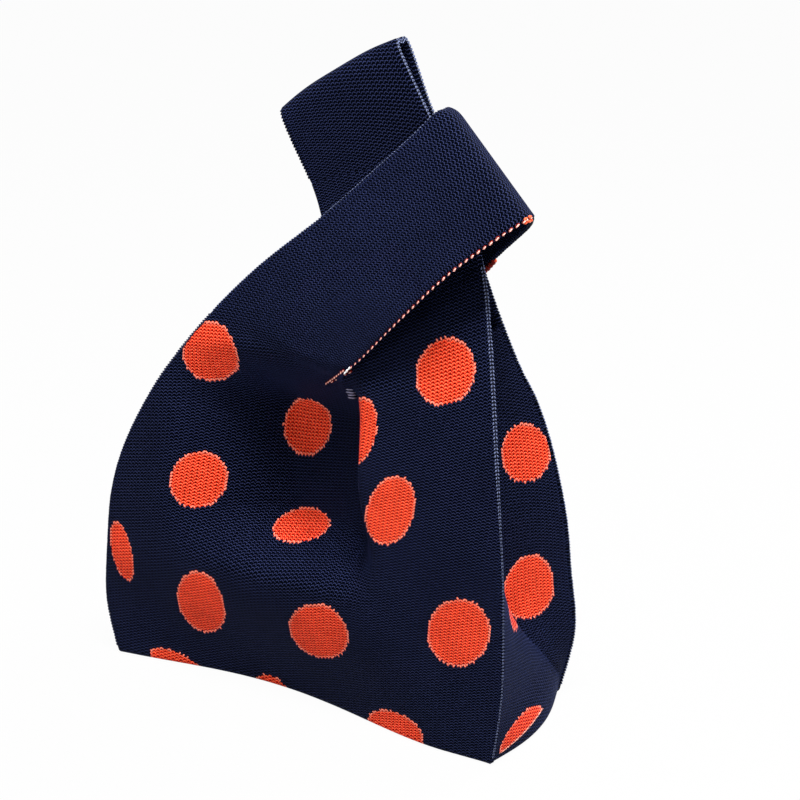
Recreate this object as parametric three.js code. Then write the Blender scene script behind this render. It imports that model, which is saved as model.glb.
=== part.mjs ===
// A knitted knot bag: a gusseted body whose short strap makes a band round its long strap.
// X runs to the bag's right as seen from the front, Y to the back, Z up. The base lies on z = 0.
import * as THREE from 'three';

// Driving sizes in millimetres and degrees
const bodyWidth = 240;
const bodyDepth = 85;
const neckHeight = 185;
const neckShift = 27;
const backNeckShift = 20;
const strapWidth = 74;
const shortStrapReach = 137;
const shortStrapAngle = 42;
const shortFoldReach = 2.5;
const neckEdgeBow = 5;
const neckStep = 2;
const longStrapReach = 150;
const longStrapLean = 26;
const longFoldReach = 4;
const wristGap = 13;
const gussetFold = 27;
const dentDepth = 34;
const basePush = 18;
const fabric = 3;
const seamGap = 0.3;
const edgingRadius = 1.3;
const tackRadius = 2.4;

const halfWidth = bodyWidth / 2;
const halfDepth = bodyDepth / 2;
const panelFoot = fabric + seamGap;
const neckRow = 6;
const gussetTopRow = 5;
const degrees = Math.PI / 180;

const navy = { color: 0x161d3c, roughness: 0.9, metalness: 0 };
const navyEdge = { color: 0x2a3358, roughness: 0.85, metalness: 0 };
const coral = { color: 0xf4552f, roughness: 0.85, metalness: 0 };

const bag = new THREE.Group();

function addPiece(name, geometry, finish) {
  const mesh = new THREE.Mesh(geometry, new THREE.MeshStandardMaterial(finish));
  mesh.name = name;
  bag.add(mesh);
}

function clamp01(value) {
  return Math.min(1, Math.max(0, value));
}

function smooth(value) {
  const t = clamp01(value);
  return t * t * (3 - 2 * t);
}

function mix(a, b, t) {
  return a + (b - a) * t;
}

// Body edges
// Each row gives a share of the neck height, how far the edge is drawn in from the side of the
// body, and how far it stands back from the front or back face.
const leftFrontEdge = [
  [0, 2, 8.5], [0.16, -2.5, 8.5], [0.35, 1.5, 7.5], [0.54, 7, 7.5], [0.72, 19.5, 8],
  [0.935, 43, 10], [1.125, 72, 12],
];
const rightFrontEdge = [
  [0, 0, 0.5], [0.2, -4.5, -0.5], [0.39, -4.8, -0.5], [0.57, -3.5, 0], [0.77, 0.5, 2.5],
  [0.91, 4, 5.5], [1.03, 7, 8.5],
];
const leftBackEdge = [
  [0, 0, 1], [0.16, -5, 0], [0.35, -2, 0.5], [0.54, 4, 2], [0.72, 16, 5], [0.935, 40, 9],
  [1.135, 72, 12],
];
const rightBackEdge = [
  [0, 1, 0], [0.2, -6, 0], [0.39, -3, 1], [0.57, 0, 3.5], [0.77, 7, 7.5], [0.91, 14.5, 11.5],
  [1.015, 23, 15.5],
];
// The middle line of each face leans with the neck: share of the height, share of the neck's
// shift, distance back from the face.
const middleLine = [
  [0, 0.55, 0], [0.19, 0.6, 0], [0.38, 0.68, 0], [0.57, 0.78, 1], [0.76, 0.9, 3.5], [0.89, 0.97, 6],
  [1, 1, 8.5],
];

function heightOf(share) {
  return panelFoot + share * (neckHeight - panelFoot);
}

function sideEdge(rows, side, face) {
  return rows.map(([share, drawnIn, setBack]) => new THREE.Vector3(
    side * (halfWidth - drawnIn),
    face * (halfDepth - setBack),
    heightOf(share),
  ));
}

function middleEdge(shift, face) {
  return middleLine.map(([share, shiftShare, setBack]) => new THREE.Vector3(
    shift * shiftShare,
    face * (halfDepth - setBack),
    heightOf(share),
  ));
}

// Straps above the neck
// Short strap rows: share of its reach, row width as a share of the strap width, row angle past
// square, then the depth of its lower and upper edges in front and at the back.
const shortRows = [
  [0.19, 0.99, 20, -38, -28, 33, 28],
  [0.42, 0.92, 11, -39.5, -24, 27, 25],
  [0.66, 0.92, 9, -38, -19.5, 17, 21],
  [0.86, 0.92, 8, -34, -15, 2, 16],
  [0.96, 0.91, 8, -28, -8, -15, 5],
];
// Long strap rows: centre to the right of and above the neck, half the row's width, its tilt,
// how far the back layer lies to the left of the front one, then the depth of the left and
// right edges in front and at the back. Lengths are shares of the strap's width and reach, and
// the depths are for layers that lie this far apart.
const drawnWristGap = 13;
const longRows = [
  [0.25, 0.207, 0.577, 5, 21, -24, -27, 23, 21],
  [0.19, 0.393, 0.563, 6, 17, -14, -15, 14, 14],
  [0.12, 0.58, 0.541, 13, 8, -9, -10, 9, 9],
  [0.057, 0.69, 0.514, 17.5, 6, -6.5, -6.5, 7.5, 7.5],
  [0, 0.787, 0.506, 21.8, 5, -5.5, -5.5, 7.5, 7.5],
  [-0.085, 0.945, 0.5, 30.5, 1, -5, -5, 7, 7],
];

function shortStrapEdges(neck, face) {
  const alongX = Math.cos(shortStrapAngle * degrees);
  const alongZ = Math.sin(shortStrapAngle * degrees);
  const inner = [];
  const outer = [];
  for (const [share, width, skew, lowFront, highFront, lowBack, highBack] of shortRows) {
    const reach = share * shortStrapReach;
    const rowAngle = (90 + shortStrapAngle + skew) * degrees;
    const x = mix(neck.x, neckShift, share) + reach * alongX;
    const z = neck.z + reach * alongZ;
    const row = width * strapWidth;
    const bow = neckEdgeBow * Math.sin(Math.PI * share);
    inner.push(new THREE.Vector3(x - bow * alongZ, face < 0 ? lowFront : lowBack, z + bow * alongX));
    outer.push(new THREE.Vector3(
      x + row * Math.cos(rowAngle),
      face < 0 ? highFront : highBack,
      z + row * Math.sin(rowAngle),
    ));
  }
  return { inner, outer };
}

function longStrapEdges(neck, face) {
  const inner = [];
  const outer = [];
  const spread = wristGap / drawnWristGap;
  for (const [right, up, half, tilt, backLeft, ...depths] of longRows) {
    const shift = face < 0 ? 0 : -backLeft;
    const x = neckShift + right * longStrapReach + shift;
    const z = neck.z + up * longStrapReach;
    const halfX = half * strapWidth * Math.cos(tilt * degrees);
    const halfZ = half * strapWidth * Math.sin(tilt * degrees);
    const [leftDepth, rightDepth] = face < 0 ? depths.slice(0, 2) : depths.slice(2);
    inner.push(new THREE.Vector3(x - halfX, leftDepth * spread, z - halfZ));
    outer.push(new THREE.Vector3(x + halfX, rightDepth * spread, z + halfZ));
  }
  return { inner, outer };
}

// A strip runs up the front, over the fold at its strap's end and down the back.
function makeStrip(frontEdges, backEdges, foldReach, foldDirection) {
  const strip = {};
  for (const edge of ['inner', 'outer']) {
    const front = frontEdges[edge];
    const back = backEdges[edge];
    const fold = front.at(-1).clone().add(back.at(-1)).multiplyScalar(0.5);
    fold.addScaledVector(foldDirection, foldReach);
    strip[edge] = new THREE.CatmullRomCurve3(
      [...front, fold, ...back.toReversed()], false, 'catmullrom', 0.5,
    );
  }
  strip.foldRow = frontEdges.inner.length;
  strip.lastRow = 2 * strip.foldRow;
  return strip;
}

function joinEdges(body, strap) {
  return { inner: [...body.inner, ...strap.inner], outer: [...body.outer, ...strap.outer] };
}

function bodyEdges(rows, side, shift, face) {
  return { inner: middleEdge(shift, face), outer: sideEdge(rows, side, face) };
}

const frontNeck = new THREE.Vector3(neckShift, 0, neckHeight);
const backNeck = new THREE.Vector3(backNeckShift, 0, neckHeight);
const shortDirection = new THREE.Vector3(
  Math.cos(shortStrapAngle * degrees), 0, Math.sin(shortStrapAngle * degrees),
);
const longDirection = new THREE.Vector3(
  -Math.sin(longStrapLean * degrees), 0, Math.cos(longStrapLean * degrees),
);
const shortStrip = makeStrip(
  joinEdges(bodyEdges(leftFrontEdge, -1, neckShift, -1), shortStrapEdges(frontNeck, -1)),
  joinEdges(bodyEdges(leftBackEdge, -1, backNeckShift, 1), shortStrapEdges(backNeck, 1)),
  shortFoldReach, shortDirection,
);
const longStrip = makeStrip(
  joinEdges(bodyEdges(rightFrontEdge, 1, neckShift, -1), longStrapEdges(frontNeck, -1)),
  joinEdges(bodyEdges(rightBackEdge, 1, backNeckShift, 1), longStrapEdges(backNeck, 1)),
  longFoldReach, longDirection,
);
shortStrip.roundCorner = 3;
longStrip.roundCorner = 1;
shortStrip.step = -neckStep;
longStrip.step = neckStep;

// Relief of the front face: the foot is pushed in at the middle, and the fabric caves in
// beside the neck, with a ledge below the hollow and a steep wall to its right.
const push = { centre: -25, reach: halfWidth, fade: 70 };
const dent = {
  start: -82, deepest: -12, valley: 28, ledgeLow: 80, ledgeHigh: 98, topLow: 142, topHigh: 186,
};
// From its deepest place to the valley the hollow rises by this share of its depth.
const dentRise = 0.2;
const dentWall = { footWidth: 40, topWidth: 13, footHeight: 92, topHeight: 140 };

function frontRelief(x, z) {
  const offCentre = clamp01(Math.abs(x - push.centre) / push.reach);
  const pushed = basePush * (1 - offCentre ** 2) ** 2 * (1 - smooth(z / push.fade));
  const intoDent = smooth((x - dent.start) / (dent.deepest - dent.start));
  const rise = dentRise * clamp01((x - dent.deepest) / (dent.valley - dent.deepest));
  const upWall = smooth((z - dentWall.footHeight) / (dentWall.topHeight - dentWall.footHeight));
  const wall = smooth((x - dent.valley) / mix(dentWall.footWidth, dentWall.topWidth, upWall));
  const low = smooth((z - dent.ledgeLow) / (dent.ledgeHigh - dent.ledgeLow));
  const high = 1 - smooth((z - dent.topLow) / (dent.topHigh - dent.topLow));
  return pushed + dentDepth * intoDent * (1 - rise) * (1 - wall) * low * high;
}

// A point of a strip: row counts up its length, across runs from its inner edge to its outer.
function stripPoint(strip, row, across) {
  const t = clamp01(row / strip.lastRow);
  const inner = strip.inner.getPoint(t);
  const outer = strip.outer.getPoint(t);
  const point = inner.clone().lerp(outer, across);
  const rowsUp = Math.min(row, strip.lastRow - row);
  const face = row < strip.foldRow ? -1 : 1;
  const bodyShare = 1 - smooth(rowsUp - (neckRow - 1));
  const rounding = mix(1, strip.roundCorner, bodyShare);
  point.y = mix(outer.y, inner.y, 1 - across ** rounding);
  if (face < 0) {
    point.y += frontRelief(point.x, point.z);
  }
  if (rowsUp > neckRow) {
    point.y -= face * strip.step * (1 - across) * (1 - smooth(rowsUp - neckRow));
  }
  return point;
}

function surfaceNormal(surface, row, side) {
  const nudge = 0.02;
  const along = surface(row + nudge, side).sub(surface(row - nudge, side));
  const sideways = surface(row, side + nudge).sub(surface(row, side - nudge));
  return sideways.cross(along).normalize();
}

// A closed sheet of fabric laid half on each side of a surface. In a standing sheet the first
// row keeps its thickness level, so that it sits square on the base.
function fabricSheet(surface, rowStart, rowEnd, rowSteps, sideStart, sideEnd, sideSteps,
  standing = false) {
  const positions = [];
  const indices = [];
  const width = sideSteps + 1;
  const layer = (rowSteps + 1) * width;
  const middles = [];
  const normals = [];
  for (let i = 0; i <= rowSteps; i += 1) {
    for (let j = 0; j <= sideSteps; j += 1) {
      const row = mix(rowStart, rowEnd, i / rowSteps);
      const side = mix(sideStart, sideEnd, j / sideSteps);
      const normal = surfaceNormal(surface, row, side);
      if (standing && i === 0) {
        normal.setZ(0).normalize();
      }
      middles.push(surface(row, side));
      normals.push(normal);
    }
  }
  for (const offset of [fabric / 2, -fabric / 2]) {
    middles.forEach((point, index) => {
      const moved = point.clone().addScaledVector(normals[index], offset);
      positions.push(moved.x, moved.y, moved.z);
    });
  }
  const quad = (a, b, c, d) => indices.push(a, b, c, a, c, d);
  for (let i = 0; i < rowSteps; i += 1) {
    for (let j = 0; j < sideSteps; j += 1) {
      const a = i * width + j;
      quad(a, a + 1, a + width + 1, a + width);
      quad(layer + a, layer + a + width, layer + a + width + 1, layer + a + 1);
    }
  }
  for (let j = 0; j < sideSteps; j += 1) {
    const last = rowSteps * width + j;
    quad(j + 1, j, layer + j, layer + j + 1);
    quad(last, last + 1, layer + last + 1, layer + last);
  }
  for (let i = 0; i < rowSteps; i += 1) {
    const left = i * width;
    const right = left + sideSteps;
    quad(left, left + width, layer + left + width, layer + left);
    quad(right + width, right, layer + right, layer + right + width);
  }
  const geometry = new THREE.BufferGeometry();
  geometry.setAttribute('position', new THREE.Float32BufferAttribute(positions, 3));
  geometry.setIndex(indices);
  geometry.computeVertexNormals();
  return geometry;
}

// Rows are parted by a little under a hundredth of a row, which is 0.2 to 0.5 mm of fabric.
const rowGap = 0.008;

// Body faces: the left half belongs to the short strap's strip, the right half to the long one's.
function facePoint(face, rowsUp, side) {
  const strip = side < 0 ? shortStrip : longStrip;
  const row = face < 0 ? rowsUp : strip.lastRow - rowsUp;
  return stripPoint(strip, row, Math.abs(side));
}

function addFacePanels() {
  const frontSurface = (row, side) => facePoint(-1, row, side);
  const backSurface = (row, side) => facePoint(1, row, -side);
  addPiece('front_panel',
    fabricSheet(frontSurface, 0, neckRow - rowGap, 28, -1, 1, 44, true), navy);
  addPiece('back_panel',
    fabricSheet(backSurface, 0, neckRow - rowGap, 12, -1, 1, 20, true), navy);
}

// Side gussets, tucked in behind the front crease. Depths are measured from the straight line
// between the front and back edges.
const rightTuck = {
  valley: 0.46, foldHeight: 60, footBulge: 8, bulgeHeight: 34, lipDepth: 8, lipFront: 98,
  lipBack: 10, tuckHeight: 14,
};
const leftTuck = { depth: 12, startHeight: 60, footBulge: 5, bulgeHeight: 110 };
// The gussets' edges lie behind the faces' edges: a share of the fabric in from the side.
const seatShare = 0.6;
const gussetSeat = { side: seatShare * fabric, depth: fabric + seamGap };

function rightGussetDepth(t, z) {
  const toValley = t < rightTuck.valley ? t / rightTuck.valley : (1 - t) / (1 - rightTuck.valley);
  const upper = gussetFold * toValley * smooth(z / rightTuck.foldHeight);
  const lipHeight = mix(rightTuck.lipFront, rightTuck.lipBack, t);
  const arch = Math.sin(Math.PI * t);
  const lower = rightTuck.lipDepth * clamp01(z / lipHeight) ** 3 * arch;
  const aboveLip = smooth((z - lipHeight) / rightTuck.tuckHeight);
  const bulge = rightTuck.footBulge * arch * (1 - smooth(z / rightTuck.bulgeHeight));
  return mix(lower, upper, aboveLip) - bulge;
}

function leftGussetDepth(t, z) {
  const belly = -leftTuck.footBulge * Math.sin(Math.PI * t) * (1 - smooth(z / leftTuck.bulgeHeight));
  const rise = smooth((z - leftTuck.startHeight) / leftTuck.startHeight);
  return belly + leftTuck.depth * rise * Math.sin(Math.PI * t) ** 2;
}

function gussetPoint(strip, side, depthAt, rowsUp, t) {
  const front = stripPoint(strip, rowsUp, 1);
  const back = stripPoint(strip, strip.lastRow - rowsUp, 1);
  const seat = new THREE.Vector3(-side * gussetSeat.side, gussetSeat.depth, 0);
  front.add(seat);
  back.add(seat.setY(-seat.y));
  const point = front.lerp(back, t);
  point.x -= side * depthAt(t, point.z);
  return point;
}

// The right gusset runs from front to back, the left one from back to front.
function rightGussetPoint(rowsUp, t) {
  return gussetPoint(longStrip, 1, rightGussetDepth, rowsUp, t);
}

function leftGussetPoint(rowsUp, t) {
  return gussetPoint(shortStrip, -1, leftGussetDepth, rowsUp, 1 - t);
}

function addGussets() {
  addPiece('right_gusset',
    fabricSheet(rightGussetPoint, 0, gussetTopRow, 20, 0, 1, 16, true), navy);
  addPiece('left_gusset',
    fabricSheet(leftGussetPoint, 0, gussetTopRow, 12, 0, 1, 8, true), navy);
}

// The base is a flat panel under the feet of the four walls.
function addBase() {
  const faceSteps = 24;
  const sideSteps = 8;
  const footPoints = [];
  for (let j = 0; j <= faceSteps; j += 1) {
    footPoints.push(facePoint(-1, 0, mix(-1, 1, j / faceSteps)));
  }
  for (let j = 1; j < sideSteps; j += 1) {
    footPoints.push(rightGussetPoint(0, j / sideSteps));
  }
  for (let j = faceSteps; j >= 0; j -= 1) {
    footPoints.push(facePoint(1, 0, mix(-1, 1, j / faceSteps)));
  }
  for (let j = 1; j < sideSteps; j += 1) {
    footPoints.push(leftGussetPoint(0, j / sideSteps));
  }
  const outline = new THREE.Shape();
  outline.setFromPoints(footPoints.map((point) => new THREE.Vector2(point.x, point.y)));
  addPiece('base_panel',
    new THREE.ExtrudeGeometry(outline, { depth: fabric, bevelEnabled: false }), navy);
}

// Stretches of the straps between two rows
function addStrapStretch(name, strip, firstRow, lastRow, steps) {
  const surface = (row, side) => stripPoint(strip, row, side);
  const flipped = (row, side) => stripPoint(strip, row, 1 - side);
  const outward = strip === longStrip ? surface : flipped;
  addPiece(name,
    fabricSheet(outward, firstRow + rowGap, lastRow - rowGap, steps, 0, 1, 6), navy);
}

const bandRow = 8;
const hiddenRow = 8.6;
const bendRow = 10.3;
const loopRow = 10.9;

function addStraps() {
  addStrapStretch('front_left_shoulder', shortStrip, neckRow, bandRow, 5);
  addStrapStretch('short_strap', shortStrip, bandRow, shortStrip.lastRow - bandRow, 20);
  addStrapStretch('back_left_shoulder',
    shortStrip, shortStrip.lastRow - bandRow, shortStrip.lastRow - neckRow, 5);
  const last = longStrip.lastRow;
  addStrapStretch('front_right_shoulder', longStrip, neckRow, hiddenRow, 5);
  addStrapStretch('long_strap_front', longStrip, hiddenRow, bendRow, 4);
  addStrapStretch('loop_bend_front', longStrip, bendRow, loopRow, 2);
  addStrapStretch('wrist_loop', longStrip, loopRow, last - loopRow, 16);
  addStrapStretch('loop_bend_back', longStrip, last - loopRow, last - bendRow, 2);
  addStrapStretch('long_strap_back', longStrip, last - bendRow, last - hiddenRow, 4);
  addStrapStretch('back_right_shoulder', longStrip, last - hiddenRow, last - neckRow, 5);
}

// Edgings: round selvedge cords that run beside the cut ends of the sheets
const edgingSides = 6;
const edgingSeat = edgingRadius + seamGap;

function edgingSection() {
  const section = new THREE.Shape();
  for (let i = 0; i < edgingSides; i += 1) {
    const angle = (2 * Math.PI * i) / edgingSides;
    const corner = [edgingRadius * Math.cos(angle), edgingRadius * Math.sin(angle)];
    if (i === 0) {
      section.moveTo(...corner);
    } else {
      section.lineTo(...corner);
    }
  }
  section.closePath();
  return section;
}

// The cord's line lies just outside the strip's inner (0) or outer (1) edge.
function addEdging(name, strip, edge, firstRow, lastRow, steps, finish) {
  const nudge = 0.04;
  const points = [];
  for (let i = 0; i <= steps; i += 1) {
    const row = mix(firstRow, lastRow, i / steps);
    const here = stripPoint(strip, row, edge);
    const inwards = stripPoint(strip, row, edge === 0 ? nudge : 1 - nudge);
    const outwards = here.clone().sub(inwards).normalize();
    points.push(here.addScaledVector(outwards, edgingSeat));
  }
  const path = new THREE.CatmullRomCurve3(points);
  addPiece(name, new THREE.ExtrudeGeometry(edgingSection(), {
    extrudePath: path, steps: 2 * steps, bevelEnabled: false,
  }), finish);
}

function addEdgings() {
  const shortLast = shortStrip.lastRow;
  const longLast = longStrip.lastRow;
  const footRow = 0.06;
  const endRows = 0.1;
  const topRow = neckRow - rowGap;
  addEdging('front_right_seam', longStrip, 1, footRow, topRow, 14, navyEdge);
  addEdging('back_right_seam', longStrip, 1, longLast - footRow, longLast - topRow, 14, navyEdge);
  addEdging('front_left_seam', shortStrip, 1, footRow, topRow, 14, navyEdge);
  addEdging('back_left_seam', shortStrip, 1, shortLast - footRow, shortLast - topRow, 14, navyEdge);
  const strapStart = bandRow + endRows;
  const strapEnd = shortLast - strapStart;
  addEdging('short_strap_neck_edging', shortStrip, 0, strapStart, strapEnd, 20, coral);
  addEdging('short_strap_upper_edging', shortStrip, 1, strapStart, strapEnd, 20, navyEdge);
  const loopStart = loopRow + endRows;
  const loopEnd = longLast - loopStart;
  addEdging('wrist_loop_left_edging', longStrip, 0, loopStart, loopEnd, 16, navyEdge);
  addEdging('wrist_loop_right_edging', longStrip, 1, loopStart, loopEnd, 16, navyEdge);
}

// Bar tacks at the foot of the neck slit, and the tied yarn end beside the front one
const tackRow = neckRow - 0.35;
const knotRow = neckRow - 0.8;
const knotSide = 0.12;

function addTack(name, face, side, rowsUp, radius, finish) {
  const here = facePoint(face, rowsUp, side);
  const outwards = surfaceNormal((row, across) => facePoint(face, row, -face * across), rowsUp,
    -face * side);
  const tack = new THREE.SphereGeometry(radius, 10, 6);
  here.addScaledVector(outwards, fabric / 2 + radius + seamGap);
  tack.translate(here.x, here.y, here.z);
  addPiece(name, tack, finish);
}

addBase();
addFacePanels();
addGussets();
addStraps();
addEdgings();
addTack('front_neck_tack', -1, 0, tackRow, tackRadius, coral);
addTack('back_neck_tack', 1, 0, tackRow, tackRadius, coral);
addTack('yarn_end_knot', -1, knotSide, knotRow, tackRadius, navyEdge);

export default bag;
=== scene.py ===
# A knitted knot bag: a polka-dot body with a gusset at each side, whose short strap folds over
# as a band round the long strap. The long strap comes out above the band as a wrist loop.
# The shape is worked out in millimetres, as the solids are, and each mesh is made in metres.
import math
from functools import partial
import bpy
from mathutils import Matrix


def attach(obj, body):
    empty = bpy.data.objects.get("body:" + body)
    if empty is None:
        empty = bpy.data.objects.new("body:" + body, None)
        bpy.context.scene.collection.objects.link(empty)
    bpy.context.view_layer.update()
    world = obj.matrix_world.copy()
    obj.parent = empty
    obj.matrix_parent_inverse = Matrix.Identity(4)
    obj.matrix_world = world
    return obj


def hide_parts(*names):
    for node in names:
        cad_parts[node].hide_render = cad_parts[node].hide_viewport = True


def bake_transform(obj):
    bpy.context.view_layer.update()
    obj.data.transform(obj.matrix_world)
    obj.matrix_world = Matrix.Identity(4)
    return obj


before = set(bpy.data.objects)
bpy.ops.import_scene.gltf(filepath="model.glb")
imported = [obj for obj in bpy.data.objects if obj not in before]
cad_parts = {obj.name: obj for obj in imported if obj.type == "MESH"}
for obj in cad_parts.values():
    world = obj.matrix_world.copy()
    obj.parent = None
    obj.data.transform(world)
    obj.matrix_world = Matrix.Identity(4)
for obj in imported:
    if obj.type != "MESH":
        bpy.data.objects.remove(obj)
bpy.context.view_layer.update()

from types import SimpleNamespace

import bpy
import numpy as np
from mathutils import Vector

MM = 0.001

# Driving sizes in millimetres. They are the solids' own, apart from the fabric's thickness, the
# lifts of the neck edges, the fold of the long strap and the last two, which follow the looks.
# The round of an edge is a share of the thickness.
BODY_WIDTH = 240
BODY_DEPTH = 85
NECK_HEIGHT = 185
NECK_SHIFT = 27
BACK_NECK_SHIFT = 20
NECK_STEP = 2
STRAP_WIDTH = 74
SHORT_STRAP_REACH = 137
SHORT_STRAP_ANGLE = math.radians(42)
SHORT_FOLD_REACH = 2.5
NECK_EDGE_LIFTS = (1.8, 4.2, 6.2, 5.3, 4.2)
BACK_EDGE_LIFTS = (-1.1, 0, 2.2, 2.7, 3.4)
LONG_STRAP_REACH = 150
LONG_FOLD_REACH = 6.5
LONG_DIRECTION = (-0.44, 0.9)
GUSSET_FOLD = 27
DENT_DEPTH = 34
BASE_PUSH = 18
FABRIC = 2.6
PANEL_FOOT = 3.3
FOOT_RADIUS = 2.0
ROUND_EDGE = 0.45
# How far the inner and outer corner of a strap's tip are rounded back, then over what share of
# the strap's width and over how many rows
SHORT_TIP_ROUND = (0, 4, 0.14, 2)
LONG_TIP_ROUND = (3, 3.5, 0.45, 1)

# Rows of the lofted strips: the neck, the tops of the gussets, and where the straps are cut
NECK_ROW = 6
PARTING = 0.3
GUSSET_TOP_ROW = 5
RIGHT_GUSSET_TOP = 6.6
CUT_ROW = 8
LOOP_CUT_ROW = 10

# Where the long strap's sleeves and the wrist loop would bend between two bodies, in millimetres
# along the long strap and square to the wrist loop's hinge; the script bends neither
LONG_BEND = (210, 237.5)
WRIST_BEND = (258, 274)
WRIST_UP = (-0.3714, 0, 0.9285)

# Relief of the front face: the foot is pushed in at the middle, and the fabric caves in beside
# the neck. The hollow has a ledge below it and a steep wall to its right, less steep lower down.
# It reaches a little higher and further right than the solids' hollow, and has a softer ledge.
PUSH_CENTRE = -25
PUSH_REACH = 120
PUSH_FADE = 70
DENT_START = -82
DENT_DEEPEST = -12
DENT_VALLEY = 32
DENT_RISE = 0.2
WALL_TOP_WIDTH = 13
WALL_FOOT_WIDTH = 24
WALL_HEIGHTS = (92, 140)
LEDGE = (72, 102)
DENT_TOP = (156, 198)

# Gussets: depths are measured in from the straight line between the front and back edges. The
# right one folds in along a valley and has a lip that falls from its front edge to its back edge.
GUSSET_SEAT = (1.0, 1.0)
VALLEY_PLACE = 0.46
VALLEY_FADE = 60
LIP_HEIGHTS = (98, 10)
LIP_TUCK = 9
LIP_DROP = 7
LIP_LEAN = 8
RIGHT_BULGE = 8
RIGHT_BULGE_TOP = 34
LEFT_BELLY = 5
LEFT_BELLY_TOP = 110
LEFT_FOLD = 12
LEFT_FOLD_HEIGHTS = (60, 120)

# Knitting: width of a column of loops, height of a loop, and the radius of a knitted dot
COLUMN = 2.34
LOOP = 1.72
DOT_RADIUS = 17.8
BACK_DOT_SPACING = 74
BACK_FOOT = 711
UNEVEN_LENGTH = 30
LOOP_TONE = 0.25
LOOP_RELIEF = 0.5
# Share of a paler colour painted on a dot's outermost loops, as a highlight
DOT_EDGE_HIGHLIGHT = 0.4
# Width of the pale line painted as a highlight just above a seam that cuts off dots
SEAM_HIGHLIGHT_WIDTH = 0.9
STRAND_BREADTH = 0.6
STRAND_RELIEF = 0.1
FABRIC_MAP = "fabric_lengths"
# Shares of a column's width or a loop's height: the rise of the arch, the dark speck below its
# middle, and the foot at the side of the column
LOOP_ARCH = 0.9
SPECK_WIDTH = 0.34
SPECK_HEIGHT = 0.42
FOOT_PLACE = 0.45
FOOT_WIDTH = 0.22

# How finely the meshes and the stitches are divided, the share of a strip's width from which an
# edge's way out is taken, and how much the stitches differ
ROW_STEPS = 18
ACROSS_STEPS = 50
GUSSET_ROW_STEPS = 30
GUSSET_STEPS = 44
FOOT_STEPS = 4
EDGE_STEPS = 16
EDGE_MARGIN = 0.04
LINK_SIDES = 8
LINK_RINGS = 6
STITCH_UNEVENNESS = 0.12

# The short strap's red spot at the back, and the stitches at the neck's foot: a row, a share
# across and a lift for the ends of the bar tacks and the middle of the knot
BACK_SPOT_ROW = 15.2
TACK_FACE = (5.9, 0.02)
TACK_START = (5.73, 0.105, 1.9)
TACK_END = (6.5, 0.005, 2.2)
SECOND_TACK_START = (5.88, 0.059, 1.6)
SECOND_TACK_END = (6.21, 0.088, 1.6)
KNOT_PLACE = (5.69, 0.063, 2.6)
KNOT_AXIS = (-0.3, 0.1, 0.95)
KNOT_HALF_LENGTH = 2.1
KNOT_FACE = (0.4, -0.9, 0.3)

# Stage: the camera's azimuth and elevation, its distance and aim in metres, and its lens. Then
# the reach of the floor in metres, how much of the floor seen is plain white, and the light all
# round. Each lamp has its place and size in metres, and its power in watts.
CAMERA_ANGLES = (28.6, 19.9)
CAMERA_DISTANCE = 0.902
CAMERA_AIM = (0.0448, 0, 0.1683)
CAMERA_LENS = 80
FLOOR_REACH = 12
FLOOR_GLOW = 0.97
ROOM_LIGHT = 0.05
LAMP_AIM = (0, 0, 0.15)
LAMPS = [
    ("overhead_softbox", (0.25, -0.3, 1.4), 0.4, 34), ("right_softbox", (1.4, -0.4, 0.45), 0.5, 12),
    ("back_softbox", (0.5, 0.9, 1.1), 0.5, 15), ("front_fill", (-0.7, -1.5, 0.3), 0.7, 10),
]

# Body edges: share of the neck height, distance in from the side, distance back from the face
LEFT_FRONT_EDGE = [
    (0, 3.5, 5), (0.16, -2.5, 8), (0.35, 1.5, 7.5), (0.54, 7, 7.5), (0.72, 19.5, 8),
    (0.935, 43, 10), (1.125, 72, 12),
]
RIGHT_FRONT_EDGE = [
    (0, 0, 0.5), (0.2, -4.5, -0.5), (0.39, -4.8, -0.5), (0.57, -3.5, 0), (0.77, 0.5, 2.5),
    (0.91, 4, 5.5), (1.03, 7, 8.5),
]
LEFT_BACK_EDGE = [
    (0, 0, 1), (0.16, -5, 0), (0.35, -2, 0.5), (0.54, 4, 2), (0.72, 16, 5), (0.935, 40, 9),
    (1.135, 72, 12),
]
RIGHT_BACK_EDGE = [
    (0, 1, 0), (0.2, -6, 0), (0.39, -3, 1), (0.57, 0, 3.5), (0.77, 7, 7.5), (0.91, 14.5, 11.5),
    (1.015, 23, 15.5),
]
# Middle line of each face: share of the height, share of the neck's shift, distance back
MIDDLE_LINE = [
    (0, 0.55, 0), (0.19, 0.6, 0), (0.38, 0.68, 0), (0.57, 0.78, 1), (0.76, 0.9, 3.5),
    (0.89, 0.97, 6), (1, 1, 8.5),
]
# Short strap: share of its reach, width share, row angle past square in degrees, then the depth
# of its lower and upper edge in front and at the back
SHORT_ROWS = [
    (0.19, 0.99, 20, -38, -28, 33, 28),
    (0.42, 0.92, 11, -39.5, -24, 27, 25),
    (0.66, 0.92, 9, -38, -19.5, 17, 21),
    (0.86, 0.93, 8, -34, -15, 2, 16),
    (0.96, 0.96, 8, -28, -8, -15, 5),
]
# Long strap: centre to the right of and above the neck as shares of its reach, half width share,
# tilt in degrees, how far the back layer lies to the left, then left and right edge depths
LONG_ROWS = [
    (0.25, 0.207, 0.577, 5, 21, -24, -27, 23, 21),
    (0.19, 0.393, 0.563, 6, 17, -14, -15, 14, 14),
    (0.12, 0.58, 0.541, 13, 8, -9, -10, 9, 9),
    (0.057, 0.69, 0.514, 17.5, 6, -6.5, -6.5, 7.5, 7.5),
    (0, 0.787, 0.506, 21.8, 5, -5.5, -5.5, 7.5, 7.5),
    (-0.085, 0.945, 0.5, 30.5, 1, -5, -5, 7, 7),
]


def smooth(value):
    t = np.clip(value, 0, 1)
    return t * t * (3 - 2 * t)


def ramp(value, low, high):
    """Rises smoothly from 0 at low to 1 at high."""
    return smooth((value - low) / (high - low))


def mix(a, b, t):
    return a + (b - a) * t


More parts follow.
